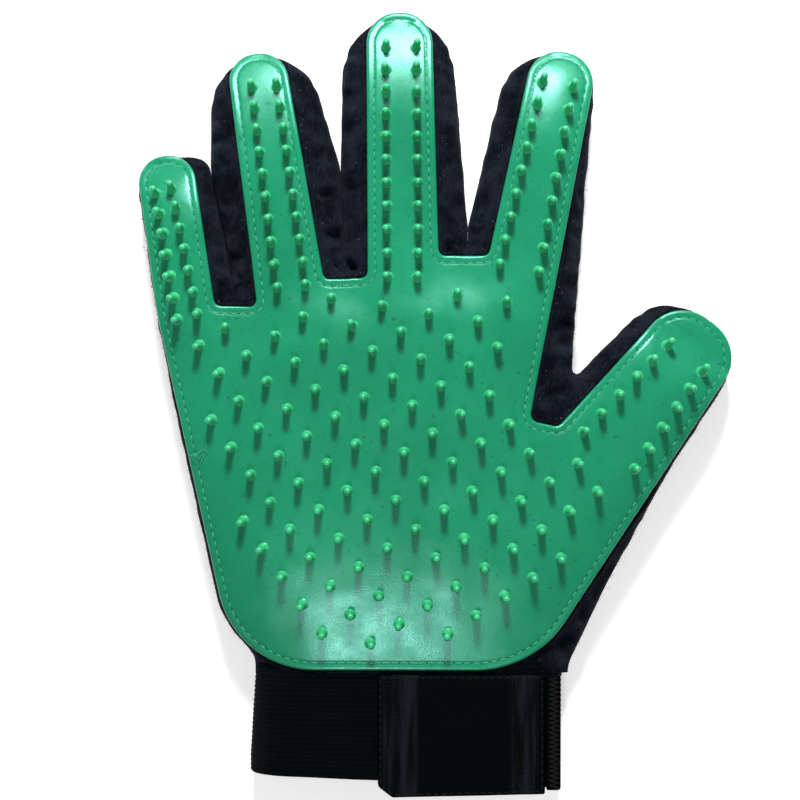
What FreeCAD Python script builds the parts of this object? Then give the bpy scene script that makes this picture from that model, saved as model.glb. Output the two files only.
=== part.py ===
import FreeCAD, Part
import math
import os

# Grooming glove for the right hand, lying on its back with the rubber pins up.
# Millimetres: +X towards the thumb, +Y towards the fingertips, +Z out of the palm.
# The origin is under the middle of the glove, on the surface that it lies on.

V = FreeCAD.Vector

# Layers, from the surface that the glove lies on up to the tips of the pins
fabric_thick = 1.2
glove_height = 18.0
pad_thick = 1.6
pad_top = glove_height + pad_thick
pin_height = 5.0
pin_radius = 1.0
pin_foot_radius = 1.6
pin_foot_height = 0.9
pin_root = 0.5

# Folds between the palm and the digits, and the blocks that part the layers along them
fold_gap = 0.5
digit_reach = 110.0
open_side = 60.0
index_side = 30.0
block_bottom = -5.0
block_height = 60.0
block_width = 300.0

# Corner radius of a round digit end, as a share of the radius of the end
tip_fillet = 0.96

# Lockstitch round the rubber pad
stitch_inset = 2.35
stitch_pitch = 2.75
stitch_length = 1.9
stitch_width = 0.5
stitch_height = 0.35
stitch_fold_clear = 1.4

# Staggered field of pins on the palm: a skewed grid inside an outline. The grid droops in proportion to
# the distance towards the thumb and the wrist.
field_origin = V(-18.3, -20.5, 0)
field_step_down = V(6.22, -8.43, 0)
field_step_across = V(15.04, -2.44, 0)
field_droop = 0.035
field_row_clear = 5.5
field_count = 12
field_outline = [
    (-77.0, 17.0),
    (-73.0, -6.0),
    (-62.0, -35.0),
    (-50.0, -55.0),
    (-38.0, -75.0),
    (-15.0, -76.0),
    (-11.0, -72.5),
    (8.0, -75.0),
    (43.0, -50.0),
    (45.5, -36.0),
    (55.0, -29.0),
    (48.0, -14.0),
    (28.0, -11.0),
    (26.5, -1.5),
    (22.0, 6.0),
    (25.0, 36.0),
    (-42.0, 36.0),
    (-54.0, 27.0),
    (-78.0, 28.0),
]

# Cuff, seam tape and closing tab
cuff_top_y = -76.0
cuff_wall = 1.5
cuff_height = glove_height - fabric_thick
cuff_corner = 4.0
cuff_slot_x = (26.0, 33.0)
seam_tape_thick = 0.8
tape_side_gap = 1.5
seam_tape_y = (-83.0, -69.0)
loop_thick = 0.7
layer_gap = 0.3
hook_thick = 0.9
tab_thick = 1.4
tab_hinge_x = 33.6
tab_top_y = -82.3
tab_low_y = -119.7
tab_left_x = -17.5
tab_bottom = cuff_height + loop_thick + layer_gap + hook_thick
tab_top = tab_bottom + tab_thick
anchor_x = (tab_hinge_x + 0.3, 38.3)
anchor_low_y = -117.5
zigzag_bars = 24
zigzag_margin = 0.6
patch_size = (36.0, 28.0)
loop_left_x = -16.0
loop_extra = 5.0
hook_margin = 1.5

# Each digit: lean from +Y towards the thumb in degrees, the round end of its rubber strip and of its
# fabric as (x, y, radius), a point on its fold, and its two rows of pins as (first, last, count).
digits = {
    "little": {
        "lean": -9.5,
        "strip_end": (-81.5, 67.4, 8.9),
        "fabric_end": (-79.2, 65.5, 11.2),
        "fold": (-76.0, 31.5),
        "rows": [((-86.6, 66.4), (-80.2, 26.0), 7), ((-81.2, 68.1), (-73.2, 28.2), 7)],
    },
    "ring": {
        "lean": -8.0,
        "strip_end": (-53.8, 98.6, 8.9),
        "fabric_end": (-51.7, 92.5, 15.0),
        "fold": (-45.0, 40.3),
        "rows": [((-56.5, 99.2), (-48.8, 36.3), 10), ((-48.7, 99.5), (-39.6, 37.2), 10)],
    },
    "middle": {
        "lean": -1.0,
        "strip_end": (-10.8, 109.9, 10.1),
        "fabric_end": (-11.3, 103.4, 16.5),
        "fold": (-10.0, 50.8),
        "rows": [((-15.2, 111.4), (-15.0, 40.0), 11), ((-5.6, 111.4), (-4.9, 40.0), 11)],
    },
    "index": {
        "lean": 11.6,
        "strip_end": (38.1, 97.9, 10.1),
        "fabric_end": (34.5, 94.6, 13.5),
        "fold": (27.0, 46.0),
        "rows": [((33.3, 100.8), (19.8, 43.8), 9), ((43.0, 98.9), (32.4, 41.2), 9)],
    },
    "thumb": {
        "lean": 38.2,
        "strip_end": (76.4, 14.9, 13.3),
        "fabric_end": (74.2, 15.6, 15.0),
        "fold": (43.9, 9.2),
        "rows": [((72.7, 20.0), (46.1, -7.8), 6), ((83.6, 11.7), (62.1, -20.0), 6)],
    },
}

# Crotches between the digits: flat-bottomed notches in the rubber as (x, y, corner radius) pairs, and
# narrow notches in the fabric
strip_notches = [
    [(-67.2, 30.3, 2.0), (-54.4, 30.0, 2.0)],
    [(-33.9, 38.4, 2.0), (-20.7, 38.8, 2.0)],
    [(1.2, 45.6, 2.0), (16.3, 45.6, 2.0)],
    [(29.0, -4.8, 2.5), (37.7, -6.6, 2.0)],
]
fabric_notches = [[(-60.8, 31.0, 0.0)], [(-27.2, 38.5, 0.0)], [(9.4, 44.5, 0.0)], [(41.2, 7.0, 1.5)]]

# The sides of the palm, from the wrist up to the little finger and from the thumb down to the wrist
pad_left = [(-61.0, -81.0, 30.0), (-85.0, 27.0, 60.0)]
pad_right = [(30.0, -81.3, 33.0)]
fabric_left = [(-43.0, -92.0, 0.0), (-64.6, -62.0, 22.0), (-84.3, 25.0, 60.0)]
fabric_right = [(52.5, -54.0, 40.0), (35.5, -92.0, 0.0)]

# Plan of the closing tab and of the cuff
tab_outline = [
    (tab_left_x, tab_top_y, 1.0),
    (tab_hinge_x, tab_top_y, 0.0),
    (tab_hinge_x, -118.7, 0.0),
    (-13.0, tab_low_y, 2.0),
    (tab_left_x, -116.2, 2.0),
]
cuff_outline = [
    (-54.5, cuff_top_y, 0.0),
    (41.0, cuff_top_y, 0.0),
    (38.6, -84.0, 3.0),
    (38.6, -117.6, 1.0),
    (-53.8, -113.8, 1.0),
    (-56.6, -110.8, 1.0),
]


def direction(name):
    """Unit vector along a digit, towards its tip."""
    lean = math.radians(digits[name]["lean"])
    return V(math.sin(lean), math.cos(lean), 0)


def sideways(name):
    """Unit vector across a digit, towards the thumb side."""
    along = direction(name)
    return V(along.y, -along.x, 0)


def rounded_face(corners):
    """Flat face inside a closed loop of (x, y, radius) corners."""
    points = [V(x, y, 0) for x, y, radius in corners]
    arcs = []
    for i, here in enumerate(points):
        radius = corners[i][2]
        back = (points[i - 1] - here).normalize()
        ahead = (points[(i + 1) % len(points)] - here).normalize()
        half = back.getAngle(ahead) / 2
        if radius == 0:
            arcs.append((here, None, here))
            continue
        tangent = radius / math.tan(half)
        inward = (back + ahead).normalize()
        middle = here + inward * (radius / math.sin(half) - radius)
        arcs.append((here + back * tangent, middle, here + ahead * tangent))
    edges = []
    for i, (start, middle, end) in enumerate(arcs):
        if middle is not None:
            edges.append(Part.Arc(start, middle, end).toShape())
        following = arcs[(i + 1) % len(arcs)][0]
        if end.distanceToPoint(following) > 0.001:
            edges.append(Part.makeLine(end, following))
    return Part.Face(Part.Wire(edges))


def hand_outline(left, end_key, notches, right):
    """Corners of a hand shape: a side, five round digit ends with a notch between each two, a side."""
    corners = list(left)
    for i, (name, digit) in enumerate(digits.items()):
        x, y, radius = digit[end_key]
        along = direction(name) * radius
        across = sideways(name) * radius
        for corner in (V(x, y, 0) + along - across, V(x, y, 0) + along + across):
            corners.append((corner.x, corner.y, tip_fillet * radius))
        if i < len(notches):
            corners.extend(notches[i])
    return corners + list(right)


def slab(face, low, high):
    """Flat plate of a plan face between two heights."""
    plate = face.extrude(V(0, 0, high - low))
    plate.translate(V(0, 0, low))
    return plate


def digit_sides(name):
    """How far a digit reaches to the left and to the right of its fold point."""
    fold = V(*digits[name]["fold"], 0)
    order = list(digits).index(name)
    left = -open_side
    right = open_side if name == "thumb" else index_side
    if order > 0:
        left = (V(*fabric_notches[order - 1][0][:2], 0) - fold).dot(sideways(name))
    if order < 3:
        right = (V(*fabric_notches[order][0][:2], 0) - fold).dot(sideways(name))
    return left, right


def digit_block(name, start, side=0):
    """Block over one digit from a distance past its fold; side -1 or +1 keeps one half of the digit."""
    digit = digits[name]
    fold = V(*digit["fold"], 0)
    left, right = digit_sides(name)
    middle = (V(*digit["fabric_end"][:2], 0) - fold).dot(sideways(name))
    if side < 0:
        right = middle
    if side > 0:
        left = middle
    block = Part.makeBox(right - left, digit_reach, block_height, V(left, start, block_bottom))
    block.rotate(V(0, 0, 0), V(0, 0, 1), -digit["lean"])
    block.translate(fold)
    return block


def past_fold(name, point):
    """Distance of a point past a digit's fold, or None where it is beside that digit."""
    from_fold = point - V(*digits[name]["fold"], 0)
    left, right = digit_sides(name)
    if left < from_fold.dot(sideways(name)) < right:
        return from_fold.dot(direction(name))
    return None


def row_pins(name):
    """Feet of the two rows of pins on one digit."""
    feet = []
    for first, last, count in digits[name]["rows"]:
        start = V(first[0], first[1], 0)
        step = (V(last[0], last[1], 0) - start) / (count - 1)
        feet.extend(start + step * i for i in range(count))
    return feet


def field_pins(rows):
    """Feet of the staggered pins on the palm, clear of the rows of the digits."""
    area = rounded_face([(x, y, 0.0) for x, y in field_outline])
    feet = []
    for i in range(-field_count, field_count + 1):
        for j in range(-field_count, field_count + 1):
            foot = field_origin + field_step_down * i + field_step_across * j
            if not area.isInside(foot, 0.01, True):
                continue
            if min(foot.distanceToPoint(other) for other in rows) > field_row_clear:
                droop = field_droop * max(0.0, foot.x - foot.y)
                feet.append(foot - V(0, droop, 0))
    return feet


def pin(foot):
    """One rubber pin: a flared foot, a round shaft and a round tip, rooted in the pad."""
    shoulder = pin_height - pin_radius
    profile = [
        Part.makeLine(V(0, 0, -pin_root), V(pin_foot_radius, 0, -pin_root)),
        Part.makeLine(V(pin_foot_radius, 0, -pin_root), V(pin_foot_radius, 0, 0)),
        Part.makeLine(V(pin_foot_radius, 0, 0), V(pin_radius, 0, pin_foot_height)),
        Part.makeLine(V(pin_radius, 0, pin_foot_height), V(pin_radius, 0, shoulder)),
        Part.Arc(
            V(pin_radius, 0, shoulder),
            V(pin_radius * math.sqrt(0.5), 0, shoulder + pin_radius * math.sqrt(0.5)),
            V(0, 0, pin_height),
        ).toShape(),
        Part.makeLine(V(0, 0, pin_height), V(0, 0, -pin_root)),
    ]
    solid = Part.Face(Part.Wire(profile)).revolve(V(0, 0, 0), V(0, 0, 1), 360)
    solid.translate(V(foot.x, foot.y, pad_top))
    return solid


def stitches(pad_face, feet):
    """Lockstitch dashes inside the edge of the pad and clear of the feet of its pins, sorted by the piece
    that they are sewn to."""
    line = pad_face.OuterWire.makeOffset2D(-stitch_inset)
    count = int(line.Length / stitch_pitch)
    points = line.discretize(Number=count + 1)[:-1]
    sorted_dashes = {name: [] for name in list(digits) + ["palm"]}
    for i, here in enumerate(points):
        along = points[(i + 1) % count] - points[i - 1]
        owner = "palm"
        near_fold = False
        for name in digits:
            distance = past_fold(name, here)
            if distance is not None and distance > 0:
                owner = name
            if distance is not None and abs(distance) < stitch_fold_clear:
                near_fold = True
        if near_fold:
            continue
        dash = Part.makeBox(
            stitch_length, stitch_width, stitch_height, V(-stitch_length / 2, -stitch_width / 2, pad_top)
        )
        dash.rotate(V(0, 0, 0), V(0, 0, 1), math.degrees(math.atan2(along.y, along.x)))
        dash.translate(here)
        nearest = min(feet, key=here.distanceToPoint)
        if dash.distToShape(Part.Vertex(nearest.x, nearest.y, pad_top))[0] > pin_foot_radius:
            sorted_dashes[owner].append(dash)
    return sorted_dashes


def studded(plate, feet):
    """Rubber plate with its pins moulded on."""
    return plate.multiFuse([pin(foot) for foot in feet]).removeSplitter()


def tube_section(x_low, x_high, z_low, z_high, corner):
    """Rounded rectangle across the wrist, as a face in the XZ plane."""
    face = rounded_face(
        [
            (x_low, z_low, corner),
            (x_high, z_low, corner),
            (x_high, z_high, corner),
            (x_low, z_high, corner),
        ]
    )
    face.rotate(V(0, 0, 0), V(1, 0, 0), 90)
    return face


def tube(x_range, z_range, y_range, wall, corner):
    """Flattened sleeve round the wrist, open at both ends."""
    x_low, x_high = x_range
    z_low, z_high = z_range
    outer = tube_section(x_low, x_high, z_low, z_high, corner)
    inner = tube_section(x_low + wall, x_high - wall, z_low + wall, z_high - wall, corner - wall)
    length = y_range[1] - y_range[0]
    sleeve = outer.extrude(V(0, length, 0)).cut(inner.extrude(V(0, length, 0)))
    sleeve.translate(V(0, y_range[0], 0))
    return sleeve


def only_solid(shape):
    """The one solid of a shape."""
    assert len(shape.Solids) == 1, len(shape.Solids)
    return shape.Solids[0]


def build_pad(parts):
    """Rubber pad with its pins and its stitching, parted at the folds."""
    pad_face = rounded_face(hand_outline(pad_left, "strip_end", strip_notches, pad_right))
    plate = slab(pad_face, glove_height, pad_top)
    rows = {name: row_pins(name) for name in digits}
    every_row = [foot for feet in rows.values() for foot in feet]
    palm_feet = field_pins(every_row)
    palm_plate = plate
    for name in digits:
        block = digit_block(name, fold_gap / 2)
        digit_feet = [foot for foot in rows[name] if past_fold(name, foot) > 0]
        palm_feet.extend(foot for foot in rows[name] if past_fold(name, foot) <= 0)
        parts[name + "_pad_strip"] = only_solid(studded(plate.common(block), digit_feet))
        palm_plate = palm_plate.cut(digit_block(name, -fold_gap / 2))
    parts["palm_pad"] = only_solid(studded(palm_plate, palm_feet))
    for name, dashes in stitches(pad_face, every_row + palm_feet).items():
        parts[name + "_stitching"] = Part.makeCompound(dashes)


def build_fabric(parts):
    """Fabric of the hand and the digits: palm side, back and the sides between them."""
    face = rounded_face(hand_outline(fabric_left, "fabric_end", fabric_notches, fabric_right))
    hollow = Part.Face(face.OuterWire.makeOffset2D(-fabric_thick))
    wrist = Part.makeBox(
        block_width, block_width, block_height, V(-block_width / 2, cuff_top_y - block_width, block_bottom)
    )
    top_low = glove_height - fabric_thick
    layers = {
        "palm_fabric": slab(face, top_low, glove_height),
        "back_fabric": slab(face, 0, fabric_thick),
        "sides": slab(face, fabric_thick, top_low).cut(slab(hollow, fabric_thick, top_low)),
    }
    for name in digits:
        block = digit_block(name, fold_gap / 2)
        parts[name + "_palm_side"] = only_solid(layers["palm_fabric"].common(block))
        parts[name + "_back"] = only_solid(layers["back_fabric"].common(block))
        for side, label in ((-1, "_left_side"), (1, "_right_side")):
            half = digit_block(name, fold_gap / 2, side)
            parts[name + label] = only_solid(layers["sides"].common(half))
    hand = {}
    for layer, shape in layers.items():
        shape = shape.cut(wrist)
        for name in digits:
            shape = shape.cut(digit_block(name, -fold_gap / 2))
        hand[layer] = shape
    parts["palm_fabric"] = only_solid(hand["palm_fabric"])
    parts["back_panel"] = only_solid(hand["back_fabric"])
    panels = sorted(hand["sides"].Solids, key=lambda solid: solid.CenterOfMass.x)
    names = [
        "little_side_panel",
        "little_ring_crotch",
        "ring_middle_crotch",
        "middle_index_crotch",
        "thumb_crotch_panel",
        "thumb_side_panel",
    ]
    assert len(panels) == len(names), len(panels)
    for name, panel in zip(names, panels):
        parts[name] = panel


def build_cuff(parts):
    """Elastic cuff, open in a slot under the end of the tab, and the tape along its seam to the palm."""
    x_low = min(x for x, y, radius in cuff_outline)
    x_high = cuff_outline[2][0]
    y_low = min(y for x, y, radius in cuff_outline)
    plan = slab(rounded_face(cuff_outline), -1, cuff_height + 1)
    sleeve = tube((x_low, x_high), (0, cuff_height), (y_low, cuff_top_y), cuff_wall, cuff_corner)
    slot = Part.makeBox(
        cuff_slot_x[1] - cuff_slot_x[0],
        cuff_top_y - y_low,
        2 * cuff_wall,
        V(cuff_slot_x[0], y_low, cuff_height - 1.5 * cuff_wall),
    )
    parts["cuff_band"] = only_solid(sleeve.common(plan).cut(slot))
    parts["cuff_seam_tape"] = tube(
        (cuff_outline[0][0] + tape_side_gap, x_high - cuff_wall),
        (cuff_wall, cuff_height - cuff_wall),
        seam_tape_y,
        seam_tape_thick,
        cuff_corner - cuff_wall,
    )


def zigzag():
    """Zigzag thread that sews the end of the tab to the cuff."""
    pitch = (tab_top_y - anchor_low_y - 2 * zigzag_margin) / zigzag_bars
    width = anchor_x[1] - anchor_x[0] - 2 * zigzag_margin
    length = math.hypot(width, pitch)
    slope = math.degrees(math.atan2(pitch, width))
    bars = []
    for i in range(zigzag_bars):
        bar = Part.makeBox(length, stitch_width, stitch_height, V(-length / 2, -stitch_width / 2, tab_top))
        bar.rotate(V(0, 0, 0), V(0, 0, 1), slope if i % 2 == 0 else -slope)
        bar.translate(V(sum(anchor_x) / 2, anchor_low_y + zigzag_margin + pitch * (i + 0.5), 0))
        bars.append(bar)
    return bars[0].multiFuse(bars[1:])


def build_closure(parts):
    """Loop patch on the cuff, the hook tape tab that closes over it, and the sewn end of the tab."""
    length, width = patch_size
    patch_y = (tab_top_y + anchor_low_y - width) / 2
    parts["loop_patch"] = Part.makeBox(
        length + loop_extra, width, loop_thick, V(loop_left_x, patch_y, cuff_height)
    )
    parts["hook_patch"] = Part.makeBox(
        length, width, hook_thick, V(tab_left_x + hook_margin, patch_y, tab_bottom - hook_thick)
    )
    parts["hook_tape_tab"] = slab(rounded_face(tab_outline), tab_bottom, tab_top)
    parts["tab_anchor"] = Part.makeBox(
        anchor_x[1] - anchor_x[0],
        tab_top_y - anchor_low_y,
        tab_top - cuff_height,
        V(anchor_x[0], anchor_low_y, cuff_height),
    )
    parts["tab_zigzag_stitching"] = zigzag()


parts = {}
build_pad(parts)
build_fabric(parts)
build_cuff(parts)
build_closure(parts)
os.makedirs("parts", exist_ok=True)
for part_name, part_shape in parts.items():
    assert part_shape.isValid(), part_name
    part_shape.exportStep(os.path.join("parts", part_name + ".step"))
    print(part_name, len(part_shape.Solids), round(part_shape.Volume / 1000, 2), "cm3")
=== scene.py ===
import math
import random

import bpy
import numpy as np
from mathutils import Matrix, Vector, geometry, kdtree, noise


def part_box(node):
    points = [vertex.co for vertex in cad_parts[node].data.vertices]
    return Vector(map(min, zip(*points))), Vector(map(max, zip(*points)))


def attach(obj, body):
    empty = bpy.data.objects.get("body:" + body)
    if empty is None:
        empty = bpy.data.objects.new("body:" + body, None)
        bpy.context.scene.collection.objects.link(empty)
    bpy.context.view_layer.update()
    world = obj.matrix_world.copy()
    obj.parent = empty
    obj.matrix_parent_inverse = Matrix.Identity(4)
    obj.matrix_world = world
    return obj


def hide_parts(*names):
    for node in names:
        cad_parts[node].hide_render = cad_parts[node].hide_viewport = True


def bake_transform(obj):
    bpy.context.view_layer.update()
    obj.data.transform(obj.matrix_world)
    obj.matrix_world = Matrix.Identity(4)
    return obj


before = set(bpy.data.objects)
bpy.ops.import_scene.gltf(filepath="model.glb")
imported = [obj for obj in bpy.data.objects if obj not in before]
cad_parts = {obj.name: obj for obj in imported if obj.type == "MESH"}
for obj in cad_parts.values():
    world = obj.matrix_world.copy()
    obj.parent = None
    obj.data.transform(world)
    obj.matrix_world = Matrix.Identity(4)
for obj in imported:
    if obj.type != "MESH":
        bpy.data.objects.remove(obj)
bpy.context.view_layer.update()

draw = random.Random(7)

# Lengths below are in millimetres; MM turns them into the frame's metres.
MM = 0.001

# ---------------------------------------------------------------- driving dimensions
side_height = 8.0
finger_crown = 18.0
wrist_crown = 17.2
wrist_fall = 2.6
palm_rise = 3.5
palm_radius = 30.0
crown_power = 2.2
web_rises = [6.0, 6.0, 6.0, 3.0]
web_reach = 8.0
pad_edge_rise = 3.0
edge_ease = 0.8
crown_margin = 2.6
overhang_slope = 1.3
overhang_reach = 4.0
pad_thick = 1.6
pin_height = 5.0
stitch_inset = 2.35
stitch_pitch = 2.75
pin_clearance = 2.2
pin_lean = 0.035
stitch_twist = 0.09
pad_step = 0.9
fabric_step = 1.2
tip_squareness = 0.44
tip_fillet = 0.95
bend_start = -3.0
wrist_y = -79.0
floor_gap = 0.05
camera_distance = 550.0
camera_centre = np.array((-10.7, 1.5))
pad_level = 19.0
frame_width = 244.2
floor_reach = 3000.0

# Each digit: lean from +Y in degrees, round ends of its rubber strip and of its fabric (x, y, radius),
# a point on its fold, half its width at the fold, height of its tip, and its rows of pins.
digits = {
    "little": {
        "lean": -9.5, "half": 12.8, "tip_crown": 11.0, "fold": (-76.0, 31.5),
        "strip_end": (-81.5, 67.4, 8.9), "fabric_end": (-78.0, 63.6, 10.8),
        "rows": [((-86.6, 66.4), (-80.2, 26.0), 7), ((-81.2, 68.1), (-73.2, 28.2), 7)],
    },
    "ring": {
        "lean": -8.0, "half": 16.6, "tip_crown": 11.0, "fold": (-45.0, 40.3),
        "strip_end": (-53.8, 98.6, 8.9), "fabric_end": (-51.7, 89.8, 14.7),
        "rows": [((-56.5, 99.2), (-48.8, 36.3), 10), ((-48.7, 99.5), (-39.6, 37.2), 10)],
    },
    "middle": {
        "lean": -1.0, "half": 17.8, "tip_crown": 11.0, "fold": (-10.0, 50.8),
        "strip_end": (-10.8, 109.9, 10.1), "fabric_end": (-11.3, 100.4, 16.2),
        "rows": [((-15.2, 111.4), (-15.0, 40.0), 11), ((-5.6, 111.4), (-4.9, 40.0), 11)],
    },
    "index": {
        "lean": 11.6, "half": 17.2, "tip_crown": 11.0, "fold": (27.0, 46.0),
        "strip_end": (38.1, 97.9, 10.1), "fabric_end": (33.1, 91.8, 13.2),
        "rows": [((33.3, 100.8), (19.8, 43.8), 9), ((43.0, 98.9), (32.4, 41.2), 9)],
    },
    "thumb": {
        "lean": 38.2, "half": 18.5, "tip_crown": 12.0, "fold": (43.9, 9.2),
        "strip_end": (76.4, 14.9, 13.3), "fabric_end": (71.6, 14.8, 14.2),
        "rows": [((72.7, 20.0), (46.1, -7.8), 6), ((83.6, 11.7), (62.1, -20.0), 6)],
    },
}
strip_notches = [
    [(-67.2, 30.3, 2.0), (-54.4, 30.0, 2.0)],
    [(-33.9, 38.4, 2.0), (-20.7, 38.8, 2.0)],
    [(1.2, 45.6, 2.0), (16.3, 45.6, 2.0)],
    [(29.0, -4.8, 2.5), (37.7, -6.6, 2.0)],
]
fabric_notches = [
    [(-68.5, 70.5, 10.0), (-60.96, 34.5, 0.0), (-60.84, 34.5, 0.0), (-68.38, 70.5, 25.0)],
    [(-28.9, 72.0, 14.0), (-27.36, 41.0, 0.0), (-27.24, 41.0, 0.0), (-28.78, 72.0, 25.0)],
    [(9.88, 54.0, 8.0), (9.64, 46.5, 0.0), (9.76, 46.5, 0.0), (10.0, 54.0, 8.0)],
    [(41.2, 7.0, 1.5)],
]
# Lines between neighbouring digits, from the crotch up
partings = [
    [(-60.9, 34.5), (-68.45, 70.5), (-72.0, 115.0)],
    [(-27.3, 41.0), (-28.85, 72.0), (-33.0, 122.0)],
    [(9.7, 46.5), (9.95, 54.0), (15.0, 118.0)],
    [(41.2, 7.0), (52.0, 30.0), (60.0, 60.0)],
]
pad_left = [(-61.0, -81.0, 30.0), (-85.0, 27.0, 60.0)]
pad_right = [(30.0, -81.3, 33.0)]
fabric_left = [(-57.0, -150.0, 0.0), (-54.6, -76.0, 12.0), (-62.2, -61.0, 18.0), (-81.4, 25.0, 60.0)]
fabric_right = [(52.5, -54.0, 40.0), (40.6, -79.0, 12.0), (38.0, -150.0, 0.0)]

# Staggered field of pins on the palm
field_origin = np.array((-18.3, -20.5))
field_down = np.array((6.22, -8.43))
field_across = np.array((15.04, -2.44))
field_droop = 0.035
field_row_clear = 5.5
field_outline = [
    (-77.0, 17.0), (-73.0, -6.0), (-62.0, -35.0), (-50.0, -55.0), (-38.0, -75.0), (-15.0, -76.0),
    (-11.0, -72.5), (8.0, -75.0), (43.0, -50.0), (45.5, -36.0), (55.0, -29.0), (48.0, -14.0),
    (28.0, -11.0), (26.5, -1.5), (22.0, 6.0), (25.0, 36.0), (-42.0, 36.0), (-54.0, 27.0), (-78.0, 28.0),
]


# ---------------------------------------------------------------- plan geometry
def direction(name):
    lean = math.radians(digits[name]["lean"])
    return np.array((math.sin(lean), math.cos(lean)))


def sideways(name):
    along = direction(name)
    return np.array((along[1], -along[0]))


def smooth(low, high, value):
    t = np.clip((value - low) / (high - low), 0.0, 1.0)
    return t * t * (3 - 2 * t)


def noise_at(x, y, z):
    """Smooth noise from -1 to 1 at places given as numbers or lists of numbers."""
    return np.array([noise.noise(place) for place in np.broadcast(x, y, z)])


def unit(vectors):
    """Rows scaled to length one."""
    return vectors / np.linalg.norm(vectors, axis=-1, keepdims=True)


def gap_to(points, others):
    """Distance from each point to the nearest of some others."""
    return np.array([np.linalg.norm(others - point, axis=1).min() for point in points])


def from_above(points, height):
    """True plan points of points at a height that the camera sees above others at the pad's height."""
    share = (camera_distance + pad_level - np.asarray(height, float)) / camera_distance
    return camera_centre + (points - camera_centre) * share.reshape(-1, 1)


def outline(left, key, notches, right):
    """Corners (x, y, radius) of a hand shape, clockwise from the wrist."""
    corners = list(left)
    for i, (name, digit) in enumerate(digits.items()):
        x, y, radius = digit[key]
        along = direction(name) * radius
        across = sideways(name) * radius
        square = tip_squareness if (name, key) == ("little", "fabric_end") else tip_fillet
        for corner, fillet in ((along - across, tip_fillet), (along + across, square)):
            corners.append((x + corner[0], y + corner[1], fillet * radius))
        if i < len(notches):
            corners.extend(notches[i])
    return corners + list(right)


def rounded_loop(corners, step):
    """Points and outward normals along a closed outline with rounded corners."""
    count = len(corners)
    bends = []
    for i in range(count):
        here = np.array(corners[i][:2])
        radius = corners[i][2]
        back = np.array(corners[i - 1][:2]) - here
        ahead = np.array(corners[(i + 1) % count][:2]) - here
        back /= np.linalg.norm(back)
        ahead /= np.linalg.norm(ahead)
        half = math.acos(float(np.clip(back @ ahead, -1, 1))) / 2
        inward = back + ahead
        inward /= np.linalg.norm(inward)
        tangent = radius / math.tan(half)
        centre = here + inward * radius / math.sin(half)
        bends.append((here + back * tangent, here + ahead * tangent, centre, radius))
    points = []
    normals = []
    for i in range(count):
        start, end, centre, radius = bends[i]
        if radius > 0:
            first = math.atan2(*(start - centre)[::-1])
            turn = math.atan2(*(end - centre)[::-1]) - first
            turn = (turn + math.pi) % (2 * math.pi) - math.pi
            parts = max(2, round(abs(turn) * radius / step))
            for k in range(parts):
                angle = first + turn * k / parts
                ray = np.array((math.cos(angle), math.sin(angle)))
                points.append(centre + radius * ray)
                normals.append(ray if turn < 0 else -ray)
        following = bends[(i + 1) % count][0]
        run = following - end
        length = np.linalg.norm(run)
        if length > 1e-3:
            parts = max(1, round(length / step))
            for k in range(parts):
                points.append(end + run * k / parts)
                normals.append(np.array((-run[1], run[0])) / length)
    return np.array(points), np.array(normals)


# Each loop's search tree by the loop's id, with the loop itself so that the id isn't used again
loop_trees = {}


def to_loop(points, loop):
    """Distance inside an evenly spaced clockwise loop, and the nearest loop point, for each point."""
    if id(loop) not in loop_trees:
        tree = kdtree.KDTree(len(loop))
        for i, (x, y) in enumerate(loop):
            tree.insert((x, y, 0), i)
        tree.balance()
        loop_trees[id(loop)] = (tree, loop)
    tree = loop_trees[id(loop)][0]
    found = [tree.find_n((x, y, 0), 4) for x, y in points]
    near = np.array([[hit[1] for hit in hits] for hits in found], int)
    start = np.concatenate([near, near - 1], axis=1) % len(loop)
    run = loop[(start + 1) % len(loop)] - loop[start]
    gap = points[:, None, :] - loop[start]
    t = np.clip((gap * run).sum(2) / (run**2).sum(2), 0, 1)
    away = gap - t[:, :, None] * run
    distance = np.linalg.norm(away, axis=2)
    best = distance.min(1)
    run = unit(run)
    turn = run[:, :, 0] * away[:, :, 1] - run[:, :, 1] * away[:, :, 0]
    side = (turn * (distance < best[:, None] + 1e-6)).sum(1)
    return np.where(side > 0, -best, best), near[:, 0]


def inside_polygon(points, corners):
    """Whether each point is inside a polygon of a few corners."""
    within = np.zeros(len(points), bool)
    x, y = points.T
    for i in range(len(corners)):
        (x0, y0), (x1, y1) = corners[i - 1], corners[i]
        if y0 != y1:
            within ^= ((y0 > y) != (y1 > y)) & (x < x0 + (y - y0) * (x1 - x0) / (y1 - y0))
    return within


def wavy_edge(loop, out):
    """Uneven edge of the sewn fabric, straight where two digits touch."""
    x, y = loop.T
    apart = np.min([np.abs(x - parting_x(i, y)) for i in range(3)], axis=0)
    share = smooth(0.6, 4.0, apart) * smooth(-60, -40, y)
    order = np.arange(len(loop))
    push = 0.4 * (noise_at(order / 8, 0, 3) + 0.6 * noise_at(order / 3.2, 0, 9))
    for name, digit in digits.items():
        centre = np.array(digit["fabric_end"][:2])
        past = (loop - centre) @ direction(name)
        beside = (loop - centre) @ sideways(name)
        close = np.abs(beside) < 1.3 * digit["half"]
        push -= 0.45 * close * np.exp(-(((past - 0.35 * digit["fabric_end"][2]) / 1.8) ** 2))
    return loop + out * (push * share)[:, None]


partings = [from_above(np.array(line), side_height) for line in partings]
pad_loop, pad_out = rounded_loop(outline(pad_left, "strip_end", strip_notches, pad_right), pad_step)
fabric_loop, fabric_out = rounded_loop(
    outline(fabric_left, "fabric_end", fabric_notches, fabric_right), fabric_step
)


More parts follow.
